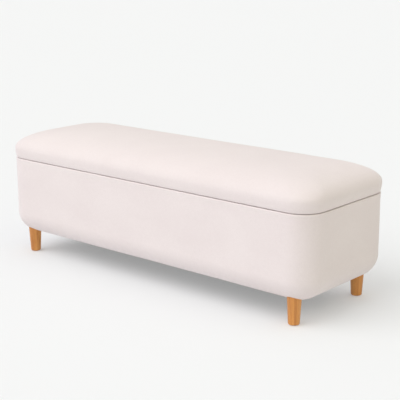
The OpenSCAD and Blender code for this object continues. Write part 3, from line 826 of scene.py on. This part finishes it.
def felt():
    """Black non-woven cloth with a pressed dimple pattern."""
    m = Material("dust_felt", (0.025, 0.024, 0.023), 0.95, Sheen_Weight=0.2, Specular_IOR_Level=0.2)
    fibre = m.noise(1.2 * MM, detail=4, distortion=2.0)
    dimple = m.add("ShaderNodeTexVoronoi", Vector=m.coords, Scale=1 / (3 * MM),
                   Randomness=0.1).outputs["Distance"]
    m.colour(m.ramp(fibre, [(0.3, (0.012, 0.012, 0.012)), (0.75, (0.05, 0.048, 0.046))]))
    m.bump(dimple, 0.3 * MM, 0.5)
    m.bump(fibre, 0.2 * MM, 0.5)
    return m.material


# How wood's grain is stretched for fibres along X or Z
ALONG_X = (0.06, 1, 1)
ALONG_Z = (1, 1, 0.06)


def wood(name, light, mid, dark, grain, along, roughness=0.55, coat=0.0):
    """Wood with growth bands, long fibres and short flecks running along one axis."""
    m = Material(name, mid, roughness, Coat_Weight=coat, Coat_Roughness=0.25, Specular_IOR_Level=0.4)
    bands = m.noise(grain, detail=3, stretch=along, distortion=0.6)
    fibres = m.noise(grain / 9, detail=3, stretch=along)
    flecks = m.noise(grain / 7, detail=1, stretch=tuple(max(s, 0.35) for s in along))
    tone = m.ramp(bands, [(0.3, dark), (0.5, mid), (0.72, light)])
    tone = m.blend(m.levels(fibres, 0.35, 0.7, 0, 0.35), tone, light)
    tone = m.blend(m.levels(flecks, 0.62, 0.7, 0, 0.35), tone, dark)
    m.colour(tone)
    m.roughness(m.levels(fibres, 0.3, 0.7, roughness - 0.08, roughness + 0.1))
    m.bump(fibres, 0.08 * MM, 0.4)
    return m.material


def metal(name, colour, roughness, scratch, metallic=1.0, coat=0.0):
    """Metal with a fine drawn scratch and slight patches of dulling."""
    m = Material(name, colour, roughness, Metallic=metallic, Coat_Weight=coat)
    patches = m.noise(12 * MM, detail=3)
    fine = m.noise(0.6 * MM, detail=2, stretch=(0.1, 1, 1))
    m.colour(m.ramp(patches, [(0.35, tuple(c * 0.85 for c in colour)), (0.65, colour)]))
    m.roughness(m.levels(patches, 0.3, 0.7, roughness * 0.8, roughness * 1.3))
    m.bump(fine, scratch, 0.4)
    return m.material


def moulded(name, colour, roughness):
    """Plastic or rubber with the fine grain of its mould."""
    m = Material(name, colour, roughness, Specular_IOR_Level=0.4)
    grain = m.noise(0.7 * MM, detail=2)
    m.colour(m.ramp(grain, [(0.3, colour), (0.8, tuple(c * 1.5 + 0.005 for c in colour))]))
    m.bump(grain, 0.1 * MM, 0.5)
    return m.material


FINISHES = {
    "upholstery_fabric": velvet(),
    "foam": moulded("foam_cells", (0.6, 0.52, 0.34), 0.95),
    "lining_cloth": weave("lining_weave", (0.40, 0.375, 0.35), (0.21, 0.195, 0.18), 1.1 * MM),
    "dust_felt": felt(),
    "plywood": wood("plywood_face", (0.66, 0.48, 0.30), (0.58, 0.40, 0.23), (0.45, 0.29, 0.15), 26 * MM,
                    ALONG_X),
    "pine": wood("planed_pine", (0.74, 0.56, 0.34), (0.66, 0.46, 0.25), (0.48, 0.29, 0.13), 14 * MM, ALONG_X),
    "beech": wood("honey_beech", (0.71, 0.325, 0.085), (0.60, 0.243, 0.050), (0.43, 0.148, 0.026), 11 * MM,
                  ALONG_Z, roughness=0.45, coat=0.35),
    "zinc_steel": metal("zinc_plate", (0.66, 0.67, 0.68), 0.32, 0.02 * MM),
    "strut_enamel": metal("strut_enamel", (0.02, 0.02, 0.022), 0.35, 0.01 * MM, metallic=0.0, coat=0.3),
    "strut_chrome": metal("strut_chrome", (0.82, 0.83, 0.85), 0.1, 0.005 * MM),
    "glide_nylon": moulded("glide_nylon", (0.05, 0.045, 0.04), 0.5),
    "rubber": moulded("bumper_rubber", (0.02, 0.02, 0.02), 0.8),
}


def dress_cad_nodes():
    """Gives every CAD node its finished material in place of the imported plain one."""
    for part in frame["record"]["subparts"]:
        for material_slot in nodes[part["node"]].material_slots:
            material_slot.material = FINISHES[part["material_slot"]]


def finish_piece(obj, slot, body, replaced=()):
    """Gives a new piece its material and its body, and hides the CAD nodes that it stands for."""
    obj.data.materials.clear()
    obj.data.materials.append(FINISHES[slot])
    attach(obj, body)
    if replaced:
        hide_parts(*replaced)


# ---------------------------------------------------------------- floor, light and camera
STAGE_R = 30.0
WALL_H = 12.0
WALL_SIDES = 96
STAGE_WHITE = 0.92            # brightness of the studio's white on camera
FLOOR_GLOW = 0.29             # share of the floor's brightness that it gives off itself
FLOOR_COLOUR = (0.590, 0.597, 0.612)
SKY_STRENGTH = 0.5
SKY_LEFT = (0.1, (1, 1, 1, 1))             # place from left to right, and colour
SKY_RIGHT = (0.9, (1.42, 1.38, 0.98, 1))
SUN_AWAY = 5.0                # a sun's place makes no difference to its light
LENS = 91.44                  # in mm, on a sensor 36 mm wide
SENSOR = 36
CAMERA_TARGET = (0.0419, 0.0281, 0.25)
CAMERA_AWAY = 3.389


def stage_piece(name, verts, faces, albedo, glow):
    """A matt pale surface round the bench, which also gives off an even light."""
    obj = new_mesh(name, verts, faces)
    m = Material("studio_" + name, albedo, 0.9, Specular_IOR_Level=0.1, Emission_Strength=glow)
    m.shader.inputs["Emission Color"].default_value = (1, 1, 1, 1)
    obj.data.materials.append(m.material)
    return obj


def floor():
    """A pale floor that reaches past the view. It glows a little, as a lit studio cove does."""
    corners = [(x * STAGE_R, y * STAGE_R, 0) for x, y in ((-1, -1), (1, -1), (1, 1), (-1, 1))]
    stage_piece("floor", corners, [(0, 1, 2, 3)], FLOOR_COLOUR, FLOOR_GLOW * STAGE_WHITE)


def backdrop():
    """A pale wall far round the bench, which only the camera sees, so that it takes no light away."""
    verts, sides = drum(0, 0, STAGE_R, (0, WALL_H), WALL_SIDES)
    inward = [side[::-1] for side in sides]
    obj = stage_piece("backdrop", verts, inward, (0, 0, 0), STAGE_WHITE)
    obj.visible_diffuse = False
    obj.visible_glossy = False
    obj.visible_shadow = False


def view_direction(azimuth, elevation):
    """The way from the bench to a viewer. Azimuth 0 is in front, and 90 is off the right end."""
    a = math.radians(azimuth)
    e = math.radians(elevation)
    return Vector((math.sin(a) * math.cos(e), -math.cos(a) * math.cos(e), math.sin(e)))


def sun(name, azimuth, elevation, energy, width):
    """A soft far light of a given angular width, from a given direction."""
    light = bpy.data.lights.new(name, "SUN")
    light.energy = energy
    light.angle = math.radians(width)
    obj = link(name, light)
    back = view_direction(azimuth, elevation)
    obj.location = back * SUN_AWAY
    obj.rotation_euler = back.to_track_quat("Z", "Y").to_euler()


def sky():
    """Even light from all round, brighter and warmer off the right end."""
    world = bpy.data.worlds.new("studio")
    world.use_nodes = True
    tree = world.node_tree
    background = tree.nodes["Background"]
    background.inputs["Strength"].default_value = SKY_STRENGTH
    coords = tree.nodes.new("ShaderNodeTexCoord")
    split = tree.nodes.new("ShaderNodeSeparateXYZ")
    ramp = tree.nodes.new("ShaderNodeValToRGB")
    tree.links.new(coords.outputs["Generated"], split.inputs["Vector"])
    tree.links.new(split.outputs["X"], ramp.inputs["Fac"])
    tree.links.new(ramp.outputs["Color"], background.inputs["Color"])
    for element, (spot, colour) in zip(ramp.color_ramp.elements, (SKY_LEFT, SKY_RIGHT)):
        element.position = spot
        element.color = colour
    bpy.context.scene.world = world
    bpy.context.scene.view_settings.view_transform = "Standard"


def camera():
    """The photograph's point of view."""
    data = bpy.data.cameras.new("camera")
    data.lens = LENS
    data.sensor_width = SENSOR
    obj = link("camera", data)
    back = view_direction(azimuth=40.55, elevation=14.17)
    obj.location = Vector(CAMERA_TARGET) + back * CAMERA_AWAY
    obj.rotation_euler = back.to_track_quat("Z", "Y").to_euler()
    bpy.context.scene.camera = obj


# ---------------------------------------------------------------- the scene
dress_cad_nodes()

cushion = lid_cushion()
finish_piece(cushion, "upholstery_fabric", "lid", ("lid_cover", "lid_foam"))

upholstery = base_upholstery()
finish_piece(upholstery, "upholstery_fabric", "base", ("base_cover", "base_padding"))

lid_welt = welt("lid_welt", inset=TURN_IN, z=LID_Z - 0.9 * MM, r=1.5 * MM)
lining_welt = welt("lining_welt", inset=INSIDE_IN + 1 * MM, z=RIM_Z - 3.5 * MM, r=1.8 * MM)
finish_piece(lid_welt, "lining_cloth", "lid")
finish_piece(lining_welt, "lining_cloth", "base")

tub, tub_cut, tub_area = lining_tub()
finish_piece(tub, "lining_cloth", "base", ("base_lining",))

under_lid, under_cut, under_area = lid_lining_sheet()
finish_piece(under_lid, "lining_cloth", "lid", ("lid_lining",))

dust, dust_size = dust_sheet()
finish_piece(dust, "dust_felt", "base", ("dust_cover",))
finish_piece(staples(), "zinc_steel", "base")

for screws, body in (("hinge_screws_base", "base"), ("strut_screws_base", "base"),
                     ("hinge_screws_lid", "lid"), ("strut_screws_lid", "lid")):
    finish_piece(crossed_screws(screws), "zinc_steel", body, (screws,))

floor()
backdrop()
sun("key", azimuth=-25, elevation=45, energy=1.54, width=60)
sun("overhead", azimuth=0, elevation=88, energy=0.70, width=120)
sky()
camera()
